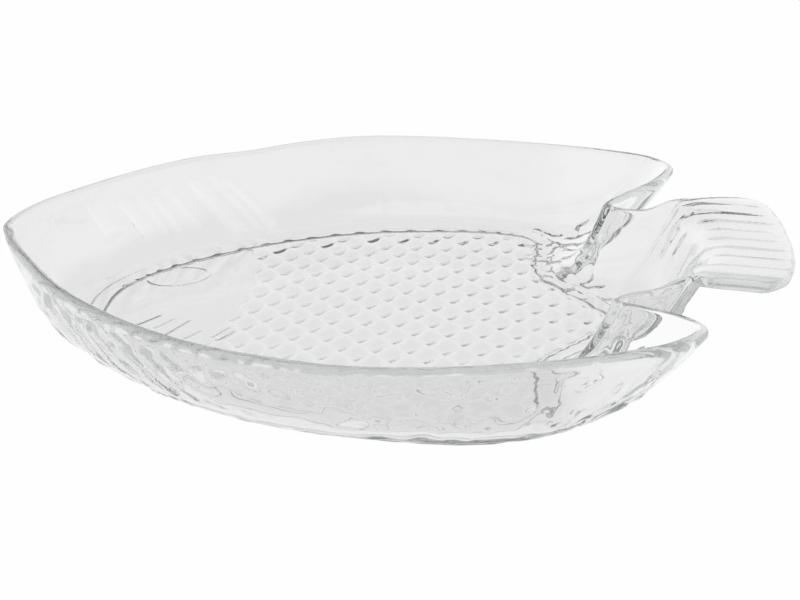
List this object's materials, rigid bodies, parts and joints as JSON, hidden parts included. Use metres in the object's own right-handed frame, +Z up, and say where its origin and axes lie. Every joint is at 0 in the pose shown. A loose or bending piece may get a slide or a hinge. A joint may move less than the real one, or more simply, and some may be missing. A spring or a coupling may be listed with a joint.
{
  "type": "fish shaped serving platter",
  "caption": "Deep fish shaped serving platter pressed in clear glass, with a flared wall, a scaled floor, a foot ring and a ribbed tail fan.",
  "frame": {"origin": "on the table, under the middle of the platter's bounding box", "axes": "+X towards the tail, +Y towards the back of the fish, +Z up"},
  "size_m": [0.3479, 0.2399, 0.046],
  "materials": {
    "clear_glass": "clear pressed soda-lime glass, fire polished, with a faint grey-green edge"
  },
  "bodies": {
    "root": {"floor": "clear_glass", "foot_ring": "clear_glass", "snout_wall": "clear_glass", "back_wall": "clear_glass", "belly_wall": "clear_glass", "back_fin": "clear_glass", "belly_fin": "clear_glass", "tail_neck": "clear_glass", "tail_fan": "clear_glass", "scale_field": "clear_glass", "head_relief": "clear_glass"}
  },
  "joints": []
}
